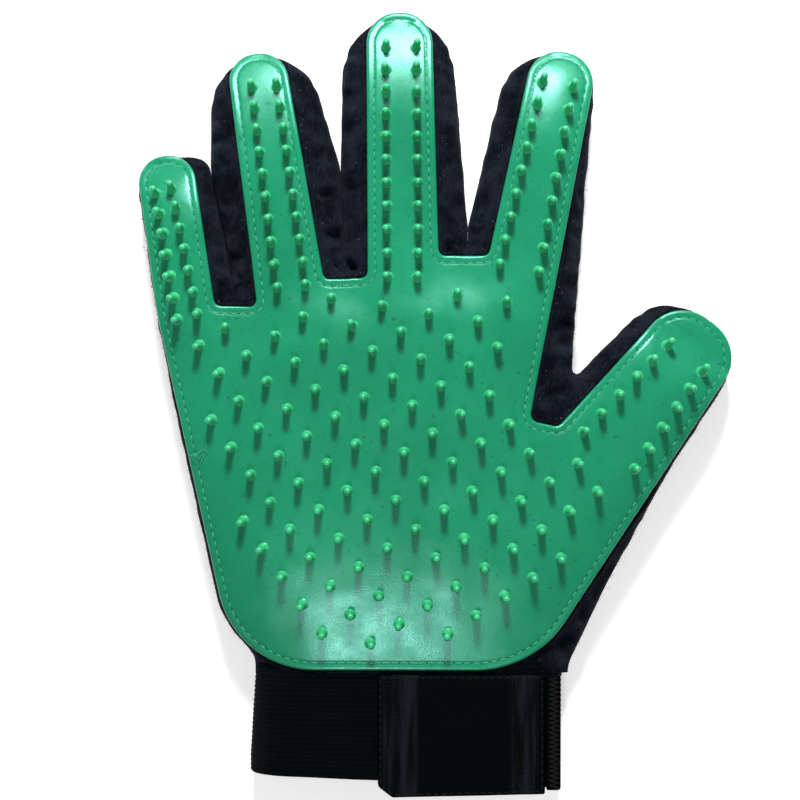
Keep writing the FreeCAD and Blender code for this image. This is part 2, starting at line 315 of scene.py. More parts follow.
def along_digit(name, points):
    """Distance past a digit's fold, and distance to the side of its middle line."""
    digit = digits[name]
    past = (points - np.array(digit["fold"])) @ direction(name)
    beside = (points - np.array(digit["fabric_end"][:2])) @ sideways(name)
    return past, beside


def parting_x(order, y):
    """X of the line between a digit and the next one."""
    return np.interp(y, partings[order][:, 1], partings[order][:, 0])


def owner_of(points):
    """Which digit each point is past the start of the bend of: 1 to 5, or 0 for the hand."""
    owner = np.zeros(len(points), int)
    x, y = points.T
    for i, name in enumerate(digits):
        chosen = along_digit(name, points)[0] > bend_start
        if i > 0:
            chosen &= x > parting_x(i - 1, y)
        if i < len(partings):
            chosen &= x <= parting_x(i, y)
        owner[chosen] = i + 1
    return owner


fabric_loop = from_above(wavy_edge(fabric_loop, fabric_out), side_height)
# The fabric reaches just under the rubber wherever the rubber comes to the silhouette
pad_shadow = from_above(pad_loop, side_height + pad_edge_rise + pad_thick)
covered = to_loop(fabric_loop, pad_shadow)[0] + 0.1 + 0.8 * smooth(-25, 5, -fabric_loop[:, 1])
covered = np.clip(covered, 0, 4)
for shift in (1, 2, 3):
    covered = (np.roll(covered, shift) + covered + np.roll(covered, -shift)) / 3
fabric_loop = fabric_loop + fabric_out * covered[:, None]


# ---------------------------------------------------------------- the glove's top surface
def form(points):
    """Local half width and crown height of the glove under each point."""
    hand_share = np.ones(len(points))
    width = np.zeros(len(points))
    crown = np.zeros(len(points))
    total = np.zeros(len(points))
    x, y = points.T
    for i, (name, digit) in enumerate(digits.items()):
        past, beside = along_digit(name, points)
        reach = (np.array(digit["fabric_end"][:2]) - np.array(digit["fold"])) @ direction(name)
        half = digit["half"] + (digit["fabric_end"][2] - digit["half"]) * np.clip(past / reach, 0, 1)
        share = smooth(-26, 2, past) * (1 - smooth(1.25, 1.7, np.abs(beside) / half))
        for order, side in ((i - 1, 1), (i, -1)):
            if 0 <= order < 3:
                crotch_y = partings[order][0][1]
                beyond = smooth(-1.5, 1.5, side * (parting_x(order, y) - x))
                share *= 1 - beyond * smooth(crotch_y - 8, crotch_y + 8, y)
        hand_share *= 1 - share
        width += share * half
        fall = np.clip((past / reach - 0.6) / 0.75, 0, 1) ** 2
        crown += share * (finger_crown + (digit["tip_crown"] - finger_crown) * fall)
        total += share
    dome = np.exp(-(((x + 6) / 58) ** 2) - ((y + 10) / 75) ** 2)
    hand_crown = finger_crown + palm_rise * dome - wrist_fall * np.clip((-38 - y) / 42, 0, 1) ** 2
    total += hand_share
    width = (width + hand_share * palm_radius) / total
    return width, (crown + hand_share * hand_crown) / total


def side_level(points):
    """Height of the side seam: higher at the webs between the digits and under the rubber's edge."""
    level = side_height + pad_edge_rise * smooth(-2.5, 0.5, to_loop(points, pad_shadow)[0])
    for line, rise in zip(partings, web_rises):
        gap = np.linalg.norm(points - line[0], axis=1)
        level += rise * np.exp(-((gap / web_reach) ** 2))
    return np.minimum(level, form(points)[1] - crown_margin)


def surface(points, ease=edge_ease):
    """Height of the glove's top at each plan point, falling away beyond the silhouette. The rubber
    bridges the steepest part of the edge: ease is how far in from the edge its slope starts."""
    points = np.asarray(points, float)
    distance = to_loop(points, fabric_loop)[0]
    width, crown = form(points)
    level = side_level(points)
    s = 1 - np.clip((np.maximum(distance, 0) + ease) / (0.94 * width + ease), 0, 1)
    arch = (crown - level) * (1 - s**crown_power) ** (1 / crown_power)
    return level + arch - overhang_slope * np.clip(-distance, 0, overhang_reach)


def slopes(points):
    """Unit normals of the top surface."""
    reach = 0.35
    dx = (surface(points + (reach, 0)) - surface(points - (reach, 0))) / (2 * reach)
    dy = (surface(points + (0, reach)) - surface(points - (0, reach))) / (2 * reach)
    return unit(np.c_[-dx, -dy, np.ones(len(points))])


def feet_under(targets, height):
    """Plan points whose normals reach over the targets at a height above the surface."""
    base = np.array(targets, float)
    for _ in range(9):
        normal = slopes(base)
        seen = from_above(targets, surface(base) + height * normal[:, 2])
        base += 0.6 * (seen - normal[:, :2] * height - base)
    return base


def raised(base, heights):
    """Points at heights above the surface, along its normals."""
    return np.c_[base, surface(base)] + slopes(base) * np.asarray(heights, float).reshape(-1, 1)


# ---------------------------------------------------------------- meshes
def new_object(name, verts, faces, materials, slots=None, normals=None):
    """Smooth mesh object from points in millimetres."""
    mesh = bpy.data.meshes.new(name)
    mesh.from_pydata((np.asarray(verts) * MM).tolist(), [], faces)
    for paint in materials:
        mesh.materials.append(paint)
    mesh.polygons.foreach_set("use_smooth", [True] * len(mesh.polygons))
    if slots is not None:
        mesh.polygons.foreach_set("material_index", slots)
    mesh.update()
    if normals is not None:
        mesh.normals_split_custom_set_from_vertices(np.asarray(normals).tolist())
    obj = bpy.data.objects.new(name, mesh)
    bpy.context.scene.collection.objects.link(obj)
    return obj


def vertex_normals(verts, faces):
    """Area-weighted normals of a mesh of triangles and quads."""
    normals = np.zeros((len(verts), 3))
    for size in (3, 4):
        chosen = np.array([f for f in faces if len(f) == size], int).reshape(-1, size)
        if not len(chosen):
            continue
        first, second, third = (verts[chosen[:, i]] for i in range(3))
        other = verts[chosen[:, 3]] - second if size == 4 else second - first
        area = np.cross(third - first, other) if size == 4 else np.cross(other, third - first)
        for corner in range(size):
            np.add.at(normals, chosen[:, corner], area)
    return normals / np.maximum(np.linalg.norm(normals, axis=1), 1e-12)[:, None]


def filled_plan(rim, spacing, keep):
    """Triangles of a plan area inside a rim, with an even grid of points inside it."""
    low = rim.min(0)
    high = rim.max(0)
    rows = []
    for row, y in enumerate(np.arange(low[1], high[1], spacing * 0.866)):
        x = np.arange(low[0] + (spacing / 2 if row % 2 else 0), high[0], spacing)
        rows.append(np.c_[x, np.full(len(x), y)])
    grid = np.concatenate(rows)
    grid = grid[to_loop(grid, rim)[0] > spacing * 0.6]
    grid = grid[keep(grid)]
    points = np.concatenate([rim, grid])
    count = len(rim)
    edges = [(i, (i + 1) % count) for i in range(count)]
    out = geometry.delaunay_2d_cdt([Vector(p) for p in points], edges, [], 1, 1e-5)
    verts = np.array([tuple(v) for v in out[0]])
    return verts, [tuple(f) for f in out[2]], out[3]


def ring_quads(rings, count, closed=False, flipped=False):
    """Quads between rings of points, each ring following the one before."""
    faces = []
    for r in range(rings if closed else rings - 1):
        here = r * count
        following = (r + 1) % rings * count
        for k in range(count):
            a, b = ((k + 1) % count, k) if flipped else (k, (k + 1) % count)
            faces.append((here + a, here + b, following + b, following + a))
    return faces


def joined(*shapes):
    """Points and faces of several shapes as one."""
    faces = []
    start = 0
    for verts, part in shapes:
        faces.extend(tuple(v + start for v in f) for f in part)
        start += len(verts)
    return np.concatenate([verts for verts, part in shapes]), faces


def area_mesh(loop, out, insets, spacing, keep=lambda p: np.ones(len(p), bool)):
    """Plan mesh of an outline: bands at insets from its edge and even triangles inside them.
    Returns points, faces wound to face up, and each point's ring (or -1)."""
    count = len(loop)
    rings = [loop - out * inset for inset in insets]
    inner, triangles, origins = filled_plan(rings[-1], spacing, keep)
    offset = count * (len(rings) - 1)
    place = {}
    for new, old in enumerate(origins):
        rim = [o for o in old if o < count]
        if rim:
            place[new] = offset + rim[0]
    verts = np.concatenate(rings)
    extra = [new for new in range(len(inner)) if new not in place]
    for k, new in enumerate(extra):
        place[new] = len(verts) + k
    ring_of = np.repeat(np.arange(len(rings)), count)
    ring_of = np.concatenate([ring_of, np.full(len(extra), -1)])
    verts = np.concatenate([verts, inner[extra]]) if extra else verts
    faces = ring_quads(len(rings), count, flipped=True)
    for tri in triangles:
        a, b, c = (place[v] for v in tri)
        pa, pb, pc = verts[a], verts[b], verts[c]
        turn = (pb[0] - pa[0]) * (pc[1] - pa[1]) - (pb[1] - pa[1]) * (pc[0] - pa[0])
        faces.append((a, b, c) if turn > 0 else (a, c, b))
    return verts, faces, ring_of


def revolve(profile, segments):
    """Points and faces of a turned shape about +Z: profile of (radius, height) from foot to tip."""
    verts = []
    for radius, height in profile[:-1]:
        for k in range(segments):
            angle = 2 * math.pi * k / segments
            verts.append((radius * math.cos(angle), radius * math.sin(angle), height))
    top = len(verts)
    last = top - segments
    verts.append((0, 0, profile[-1][1]))
    faces = ring_quads(len(profile) - 1, segments)
    faces += [(last + k, last + (k + 1) % segments, top) for k in range(segments)]
    return np.array(verts), faces


def frames(normals, along=None):
    """Right-handed frames (x, y, z rows) with z along the normals and x near a direction."""
    normals = np.asarray(normals, float)
    guide = np.tile((1.0, 0, 0), (len(normals), 1)) if along is None else np.asarray(along, float)
    x = unit(guide - (guide * normals).sum(1)[:, None] * normals)
    return np.stack([x, np.cross(normals, x), normals], 1)


def upright(count, along=None):
    """Frames that all stand straight up."""
    return frames(np.tile((0, 0, 1.0), (count, 1)), along)


def placed(shape, origins, axes):
    """Copies of one small shape, one at each origin with its own axes."""
    verts, faces = shape
    return joined(*((origin + verts @ axis, faces) for origin, axis in zip(origins, axes)))


def tube(path, radii, segments, closed, ups):
    """Tube along a path, with a radius and an up direction at each point or one for all of them."""
    path = np.asarray(path, float)
    tangent = np.roll(path, -1, 0) - np.roll(path, 1, 0)
    if not closed:
        tangent[0] = path[1] - path[0]
        tangent[-1] = path[-1] - path[-2]
    tangent = unit(tangent)
    side = unit(np.cross(tangent, ups))
    up = np.cross(side, tangent)
    angles = 2 * np.pi * np.arange(segments) / segments
    ring = side[:, None, :] * np.cos(angles)[None, :, None] + up[:, None, :] * np.sin(angles)[None, :, None]
    verts = (path[:, None, :] + ring * np.asarray(radii).reshape(-1, 1, 1)).reshape(-1, 3)
    faces = ring_quads(len(path), segments, closed)
    if not closed:
        faces.append(tuple(range(segments))[::-1])
        faces.append(tuple((len(path) - 1) * segments + k for k in range(segments)))
    return verts, faces


# ---------------------------------------------------------------- materials
def fill(node, **sockets):
    """Fills a shader node's inputs by their names."""
    for name, value in sockets.items():
        plug(node.inputs[name.replace("_", " ")], value)


def plug(socket, value):
    """Links an input to another node's output, or sets its value."""
    if isinstance(value, bpy.types.NodeSocket):
        socket.id_data.links.new(value, socket)
    else:
        socket.default_value = (*value, 1) if socket.type == "RGBA" else value


def material(name, color, rough, **sockets):
    """Material with a principled shader: returns it with its node tree and shader."""
    made = bpy.data.materials.new(name)
    made.use_nodes = True
    shader = made.node_tree.nodes["Principled BSDF"]
    fill(shader, Base_Color=color, Roughness=rough, **sockets)
    return made, made.node_tree, shader


def output_of(tree, kind, output, settings=None, **sockets):
    """One output of a new shader node, made with settings and inputs."""
    node = tree.nodes.new("ShaderNode" + kind)
    for setting, value in (settings or {}).items():
        setattr(node, setting, value)
    fill(node, **sockets)
    return node.outputs[output]


def coordinates(tree, stretch=(1, 1, 1)):
    """Object coordinates in millimetres, stretched."""
    place = output_of(tree, "TexCoord", "Object")
    return output_of(tree, "Mapping", "Vector", Vector=place, Scale=[s / MM for s in stretch])


def clouds(vector, size, detail=2.0, rough=0.5):
    """Noise with features of about the given size in millimetres."""
    inputs = {"Vector": vector, "Scale": 1 / size, "Detail": detail, "Roughness": rough}
    return output_of(vector.id_data, "TexNoise", "Fac", **inputs)


def waves(vector, size, axis, distortion=0.0):
    """Bands across an axis at the given pitch in millimetres."""
    inputs = {"Vector": vector, "Scale": 2 * math.pi / size / 20, "Distortion": distortion}
    return output_of(vector.id_data, "TexWave", "Fac", {"bands_direction": axis}, **inputs)


def span(value, low, high, to_low=0.0, to_high=1.0):
    """Value mapped smoothly from one range to another."""
    return output_of(
        value.id_data, "MapRange", "Result", {"interpolation_type": "SMOOTHSTEP"},
        Value=value, From_Min=low, From_Max=high, To_Min=to_low, To_Max=to_high,
    )


def compute(operation, first, second):
    """Sum or product of a node's output and a second value."""
    node = first.id_data.nodes.new("ShaderNodeMath")
    node.operation = operation
    for socket, value in zip(node.inputs, (first, second)):
        plug(socket, value)
    return node.outputs["Value"]


def mixed(share, first, second):
    """Mix of two colours by a share."""
    node = share.id_data.nodes.new("ShaderNodeMix")
    node.data_type = "RGBA"
    for index, value in ((0, share), (6, first), (7, second)):
        plug(node.inputs[index], value)
    return node.outputs[2]


def bumps(height, depth):
    """Normal of bumps with a depth in millimetres."""
    return output_of(height.id_data, "Bump", "Normal", Distance=depth * MM, Height=height)


def rubber_material(name, dark, light):
    made, tree, shader = material(
        name, dark, 0.28,
        Subsurface_Weight=0.22, Subsurface_Radius=(0.4, 1.0, 0.7), Subsurface_Scale=0.0015,
        Specular_IOR_Level=0.75, Specular_Tint=(0.45, 1.0, 0.92),
    )
    place = coordinates(tree)
    broad = clouds(place, 28, 3)
    color = mixed(span(broad, 0.3, 0.7), dark, light)
    dust = span(clouds(place, 1.5, 0), 0.79, 0.83)
    color = mixed(compute("MULTIPLY", dust, 0.6), color, (0.008, 0.06, 0.045))
    wear = span(clouds(place, 9, 4, 0.6), 0.3, 0.7, 0.22, 0.33)
    grain = compute("ADD", clouds(place, 0.5, 2), compute("MULTIPLY", broad, 2.0))
    fill(shader, Base_Color=color, Roughness=wear, Normal=bumps(grain, 0.03))
    return made


def thread_material(name, dark, light):
    made, tree, shader = material(name, dark, 0.75, Specular_IOR_Level=0.15, Sheen_Weight=0.03)
    place = coordinates(tree)
    twist = waves(place, 0.32, "DIAGONAL", 1.0)
    color = mixed(compute("MULTIPLY", twist, clouds(place, 4)), dark, light)
    fill(shader, Base_Color=color, Normal=bumps(twist, 0.06))
    return made


def knit_material():
    made, tree, shader = material(
        "brushed_knit", (0.01, 0.012, 0.02), 0.95,
        Specular_IOR_Level=0.06, Sheen_Weight=0.07, Sheen_Roughness=0.5, Sheen_Tint=(0.32, 0.34, 0.48),
    )
    place = coordinates(tree)
    nap = clouds(coordinates(tree, (1.3, 0.4, 1)), 0.9, 4, 0.7)
    patches = span(compute("ADD", nap, clouds(place, 7, 3)), 0.82, 1.2)
    color = mixed(patches, (0.0008, 0.0018, 0.004), (0.0075, 0.0105, 0.018))
    lint = span(clouds(place, 0.45, 1), 0.8, 0.84)
    color = mixed(lint, color, (0.16, 0.17, 0.2))
    fill(shader, Base_Color=color, Normal=bumps(nap, 0.3))
    return made


def mesh_material():
    made, tree, shader = material(
        "mesh_fabric", (0.012, 0.012, 0.018), 0.85, Specular_IOR_Level=0.1, Sheen_Weight=0.08
    )
    place = coordinates(tree)
    walls = output_of(
        tree, "TexVoronoi", "Distance", {"feature": "DISTANCE_TO_EDGE"},
        Vector=place, Scale=1 / 1.5, Randomness=0.12,
    )
    yarn = span(walls, 0.1, 0.34, 1.0, 0.0)
    # Cells between the yarn walls are near black: painted shade in the mesh's holes
    color = mixed(yarn, (0.001, 0.0012, 0.002), (0.012, 0.014, 0.02))
    relief = compute("ADD", yarn, clouds(place, 0.3))
    fill(shader, Base_Color=color, Normal=bumps(relief, 0.35))
    return made


def elastic_material():
    made, tree, shader = material(
        "ribbed_elastic", (0.004, 0.005, 0.007), 0.75,
        Specular_IOR_Level=0.03, Sheen_Weight=0.015, Sheen_Tint=(0.35, 0.37, 0.5),
    )
    place = coordinates(tree)
    yarns = waves(place, 0.55, "X", 2.0)
    share = compute("MULTIPLY", yarns, clouds(place, 5, 3))
    color = mixed(share, (0.0004, 0.0009, 0.0014), (0.0036, 0.005, 0.0068))
    fill(shader, Base_Color=color, Normal=bumps(yarns, 0.12))
    return made


def tape_material(name, smooth_glint_edges):
    """Woven tape; smooth_glint_edges are (low, high) stretches along X, in millimetres, pressed smooth and
    painted lighter in streaks as a glint.
    """
    made, tree, shader = material(name, (0.003, 0.004, 0.006), 0.6, Specular_IOR_Level=0.035)
    place = coordinates(tree)
    weave = compute("MULTIPLY", waves(place, 0.6, "X"), waves(place, 0.6, "Y"))
    share = compute("MULTIPLY", weave, clouds(place, 6, 3))
    color = mixed(share, (0.0001, 0.0004, 0.0007), (0.0011, 0.0018, 0.0025))
    x = output_of(tree, "SeparateXYZ", "X", Vector=place)
    smooth_and_glint = 0.0
    for low, high in smooth_glint_edges:
        rise = span(x, low, low + 1.5)
        fall = span(x, high - 1.5, high, 1.0, 0.0)
        smooth_and_glint = compute("ADD", compute("MULTIPLY", rise, fall), smooth_and_glint)
    if smooth_glint_edges:
        # The pressed bands are painted lighter in streaks: a painted glint; only their lower roughness is
        # real
        painted_glint_streaks = span(clouds(coordinates(tree, (1, 0.08, 1)), 2.2, 3), 0.35, 0.7)
        color = mixed(compute("MULTIPLY", smooth_and_glint, painted_glint_streaks), color, (0.007, 0.0095, 0.014))
        fill(shader, Roughness=span(smooth_and_glint, 0, 1, 0.62, 0.33))
    fill(shader, Base_Color=color, Normal=bumps(weave, 0.1))
    return made


def pile_material(name, dark, light, depth):
    made, tree, shader = material(name, dark, 0.8, Specular_IOR_Level=0.12, Sheen_Weight=0.04)
    fuzz = clouds(coordinates(tree), 0.5, 4, 0.7)
    fill(shader, Base_Color=mixed(fuzz, dark, light), Normal=bumps(fuzz, depth))
    return made


paints = {
    "green_rubber": rubber_material("green_rubber", (0.006, 0.215, 0.1), (0.008, 0.255, 0.122)),
    # The pins' rubber is a lighter copy of green_rubber: painted light that makes the thin pins glow
    # brighter than the pad
    "green_pins_painted_glow": rubber_material("green_pins_painted_glow", (0.03, 0.38, 0.15), (0.045, 0.46, 0.19)),
    "green_thread": thread_material("green_thread", (0.04, 0.32, 0.19), (0.14, 0.56, 0.36)),
    # Near-black green for the needle holes: painted shade, not a thread colour
    "needle_hole_shade": thread_material("needle_hole_shade", (0.004, 0.06, 0.05), (0.01, 0.11, 0.085)),
    "black_thread": thread_material("black_thread", (0.0008, 0.0012, 0.0018), (0.004, 0.005, 0.0065)),
    "brushed_knit": knit_material(),
    "mesh_fabric": mesh_material(),
    "ribbed_elastic": elastic_material(),
    "seam_tape": tape_material("seam_tape", []),
    "tab_tape": tape_material("tab_tape", [(-16.5, -4.5), (22.0, 31.5)]),
    "hook_field": pile_material("hook_field", (0.005, 0.005, 0.007), (0.016, 0.016, 0.019), 0.05),
    "loop_pile": pile_material("loop_pile", (0.004, 0.004, 0.006), (0.016, 0.016, 0.021), 0.3),
    "lint": pile_material("lint", (0.06, 0.065, 0.08), (0.2, 0.21, 0.25), 0.02),
}


# ---------------------------------------------------------------- putting pieces on bodies
bodies = ["hand", *digits]


def put_parts(shapes, owners, label, paint_names, hand_nodes=(), suffixes=()):
    """One piece for the hand and one that bends for each digit, cut from shapes with a paint each.
    owners are of each shape's points. The hand's piece stands for CAD nodes by their names, and a
    digit's piece for those of the digit's name with a suffix."""
    verts, faces = joined(*shapes)
    normals = vertex_normals(verts, faces)
    paint_order = np.repeat(np.arange(len(shapes)), [len(shape[1]) for shape in shapes])
    point_owners = np.concatenate(owners)
    face_owners = np.array([point_owners[list(f)].max() for f in faces])
    for owner in np.unique(face_owners):
        body = bodies[owner]
        chosen = np.nonzero(face_owners == owner)[0]
        used = np.unique(np.concatenate([faces[i] for i in chosen]))
        place = np.full(len(verts), -1)
        place[used] = np.arange(len(used))
        kept = [tuple(int(place[v]) for v in faces[i]) for i in chosen]
        materials = [paints[name] for name in paint_names]
        order = paint_order[chosen].tolist()
        obj = new_object(body + "_" + label, verts[used], kept, materials, order, normals[used])
        if owner == 0:
            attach(obj, "hand")
        else:
            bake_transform(obj)
        if hand_nodes:
            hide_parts(*(hand_nodes if owner == 0 else [body + suffix for suffix in suffixes]))


def put_whole(name, shape, paint, body, *nodes):
    """One piece that rides a single body, and stands for the CAD nodes that are named."""
    obj = new_object(name, *shape, [paints[paint]])
    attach(obj, body)
    if nodes:
        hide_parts(*nodes)


# ---------------------------------------------------------------- rubber pad with pins
rim_round = 0.55


def pad_height(inset):
    """Height of the rubber above the fabric at a distance inside its edge."""
    h = pad_thick
    if inset < rim_round:
        h -= rim_round - math.sqrt(rim_round**2 - (rim_round - inset) ** 2)
    h += 0.1 * math.exp(-(((inset - 0.95) / 0.45) ** 2))
    return h - 0.16 * math.exp(-(((inset - stitch_inset) / 0.42) ** 2))


def ripple(points):
    """Slow waves of the soft rubber, in millimetres."""
    x, y = points.T
    return 0.45 * noise_at(x / 26, y / 34, 3) + 0.12 * noise_at(x / 9, y / 9, 8)


def field_pins(rows):
    """Feet of the staggered pins on the palm."""
    steps = np.arange(-12, 13)
    feet = np.array([field_origin + field_down * i + field_across * j for i in steps for j in steps])
    feet = feet[inside_polygon(feet, field_outline)]
    feet = feet[gap_to(feet, rows) > field_row_clear]
    feet[:, 1] -= field_droop * np.maximum(0.0, feet[:, 0] - feet[:, 1])
    return feet


def row_pins():
    """Tips of the rows of pins on the digits."""
    tips = []
    for digit in digits.values():
        for first, last, count in digit["rows"]:
            tips.extend(np.linspace(first, last, count))
    return np.array(tips)


pin_profile = [
    (1.95, -0.15), (1.66, 0.12), (1.4, 0.45), (1.25, 0.9), (1.17, 1.6), (1.14, 2.8), (1.13, 3.9),
    (1.05, 4.36), (0.84, 4.72), (0.48, 4.93), (0.0, 5.0),
]


def build_pad():
    insets = [0.0, 0.0, 0.0, 0.08, 0.2, 0.36, 0.55, 0.8, 1.1, 1.5, 1.85, 2.1, 2.35, 2.6, 2.85, 3.3]
    heights = [-1.4, 0.4] + [pad_height(inset) for inset in insets[2:]]
    plan, faces, ring_of = area_mesh(pad_loop, pad_out, insets, 1.9)
    height = np.where(ring_of >= 0, np.array(heights)[ring_of], pad_thick)
    base = feet_under(plan, pad_thick)
    verts = raised(base, height + ripple(plan) * smooth(1.0, 12.0, to_loop(plan, pad_loop)[0]))
    rows = row_pins()
    tips = np.concatenate([rows, field_pins(rows)])
    feet = feet_under(tips, pad_thick + pin_height)
    pin = revolve(pin_profile, 14)
    axes = frames(slopes(feet))
    origins = raised(feet, pad_thick + ripple(feet))
    for i in range(len(axes)):
        lean = Vector((draw.gauss(0, pin_lean), draw.gauss(0, pin_lean), 1)).normalized()
        axes[i] = np.array(Vector((0, 0, 1)).rotation_difference(lean).to_matrix()) @ axes[i]
    pins = placed(pin, origins, axes)
    owners = [owner_of(plan), np.repeat(owner_of(feet), len(pin[0]))]
    paint_names = ["green_rubber", "green_pins_painted_glow"]
    put_parts([(verts, faces), pins], owners, "pad", paint_names, ["palm_pad"], ["_pad_strip"])
    return feet


def ellipsoid(length, width, height, rings=5, segments=8):
    """Bead lying along X."""
    profile = [(math.sin(math.pi * k / rings), -math.cos(math.pi * k / rings)) for k in range(1, rings)]
    verts, faces = revolve([(0.02, -1.0)] + profile + [(0.0, 1.0)], segments)
    turned = np.c_[verts[:, 2], verts[:, 0], verts[:, 1]]
    return turned * (length / 2, width / 2, height / 2), faces


def even_points(loop, step, inset, out):
    """Points at an even step on a line inside a loop, and the directions along it."""
    line = loop - out * inset
    gaps = np.linalg.norm(np.roll(line, -1, 0) - line, axis=1)
    ends = np.concatenate([[0], np.cumsum(gaps)])
    count = int(ends[-1] / step)
    along = np.arange(count) * ends[-1] / count
    closed = np.concatenate([line, line[:1]])
    points = np.c_[np.interp(along, ends, closed[:, 0]), np.interp(along, ends, closed[:, 1])]
    heading = np.roll(points, -1, 0) - np.roll(points, 1, 0)
    return points, unit(heading)


def build_stitches(feet):
    points, heading = even_points(pad_loop, stitch_pitch, stitch_inset, pad_out)
    base = feet_under(points, pad_thick)
    clear = gap_to(base, feet) > pin_clearance
    base = base[clear]
    heading = np.c_[heading[clear], np.zeros(clear.sum())]
    normals = slopes(base)
    twist = np.array([draw.gauss(0, stitch_twist) for _ in base])
    side = np.cross(normals, heading)
    axes = frames(normals, heading + side * twist[:, None])
    stitch = ellipsoid(1.6, 0.46, 0.4)
    # Dark beads at each needle hole between the stitches: painted shade in the holes
    hole_shade = ellipsoid(0.5, 0.42, 0.2)
    origins = raised(base, pad_height(stitch_inset) + 0.05 + ripple(points[clear]) * 0.12)
    stitches = placed(stitch, origins, axes)
    hole_shades = placed(hole_shade, origins + axes[:, 0] * (stitch_pitch / 2), axes)
    owners = [np.repeat(owner_of(base), len(shape[0])) for shape in (stitch, hole_shade)]
    paint_names = ["green_thread", "needle_hole_shade"]
    put_parts([stitches, hole_shades], owners, "stitches", paint_names, ["palm_stitching"], ["_stitching"])


# ---------------------------------------------------------------- fabric
seam_sides = 8
lint_share = 0.2


def pucker(plan):
    """Height of the gathers in the fabric beside the rubber, in millimetres."""
    inside, nearest = to_loop(plan, pad_loop)
    beside = -inside
    arc = nearest * pad_step
    wave = noise_at(arc / 5.2, beside / 9, 1) + 0.55 * noise_at(arc / 2.6, beside / 5, 7)
    share = smooth(0.4, 3.5, beside) * smooth(-0.2, 2.2, to_loop(plan, fabric_loop)[0])
    crotch = gap_to(plan, np.array([line[0] for line in partings]))
    return (2.0 + 1.6 * np.exp(-((crotch / 12) ** 2))) * wave * share


def build_fabric():
    insets = [0.0, 0.06, 0.22, 0.5, 0.95, 1.55, 2.4, 3.5]

    def keep(points):
        coarse = np.arange(len(points)) % 7 == 0
        return (to_loop(points, pad_loop)[0] < 3.5) | coarse

    plan, faces, ring_of = area_mesh(fabric_loop, fabric_out, insets, 1.5, keep)
    on_glove = [f for f in faces if plan[list(f), 1].max() > wrist_y - 3]
    owners = [owner_of(plan)]
    top = np.c_[plan, surface(plan, 0.0)] + slopes(plan) * pucker(plan)[:, None]
    hand_nodes = [
        "palm_fabric", "little_side_panel", "little_ring_crotch", "ring_middle_crotch",
        "middle_index_crotch", "thumb_crotch_panel", "thumb_side_panel",
    ]
    suffixes = ["_palm_side", "_left_side", "_right_side"]
    put_parts([(top, on_glove)], owners, "palm_fabric", ["brushed_knit"], hand_nodes, suffixes)
    distance = to_loop(plan, fabric_loop)[0]
    s = 1 - np.clip(distance / np.minimum(0.75 * form(plan)[0], 13.0), 0, 1)
    sag = 0.5 + 0.5 * noise_at(plan[:, 0] / 11, plan[:, 1] / 14, 5)
    lift = side_level(plan) * (1 - (1 - s**2.4) ** (1 / 2.4)) + floor_gap
    lift += 0.9 * sag * smooth(2, 16, distance) * (1 - smooth(60, 140, distance))
    back = (np.c_[plan, lift], [f[::-1] for f in on_glove])
    put_parts([back], owners, "back_fabric", ["mesh_fabric"], ["back_panel"], ["_back"])


def build_seams():
    """Rolled seam where the palm side meets the back, and the bound edge of fabric beside the rubber."""
    count = len(fabric_loop)
    wobble = noise_at(np.arange(count) / 6, 0, 2)
    line = fabric_loop + fabric_out * (-0.42 + 0.1 * wobble)[:, None]
    path = np.c_[line, side_level(line) - 0.4 + 0.5 * wobble]
    verts, faces = tube(path, 0.5 + 0.1 * np.roll(wobble, 9), seam_sides, True, (0, 0, 1.0))
    faces = [f for f in faces if verts[list(f), 1].min() > wrist_y + 1]
    put_parts([(verts, faces)], [owner_of(verts[:, :2])], "outer_seam", ["brushed_knit"])
    line = pad_loop + pad_out * 0.45
    base = feet_under(line, 0.3)
    wobble = noise_at(np.arange(len(line)) / 3.1, 0, 4)
    path = raised(base, 0.25 + 0.18 * wobble)
    verts, faces = tube(path, 0.62 + 0.2 * np.roll(wobble, 5), seam_sides, True, slopes(base))
    on_fabric = np.repeat(to_loop(base, fabric_loop)[0] > 1.7, seam_sides)
    faces = [f for f in faces if on_fabric[list(f)].all()]
    put_parts([(verts, faces)], [np.repeat(owner_of(line), seam_sides)], "rubber_seam", ["brushed_knit"])


def blades(origins, normals, seed, length, width, spread):
    """Short bent fibres standing at points: thin strips of two quads."""
    verts = []
    faces = []
    local = random.Random(seed)
    for origin, normal in zip(origins, normals):
        lean = np.array([local.gauss(0, spread) for _ in range(3)])
        up = normal + lean
        up /= np.linalg.norm(up)
        side = np.cross(up, [local.gauss(0, 1) for _ in range(3)])
        side /= np.linalg.norm(side)
        curl = side * local.uniform(-0.5, 0.5)
        size = length * local.uniform(0.5, 1.3)
        across = np.cross(up, side) * width / 2
        step = len(verts)
        for t, share in ((0.0, 1.0), (0.55, 0.8), (1.0, 0.25)):
            centre = origin + up * size * t + curl * size * t * t
            verts.extend([centre - across * share, centre + across * share])
        faces.extend([(step, step + 1, step + 3, step + 2), (step + 2, step + 3, step + 5, step + 4)])
    return np.array(verts), faces


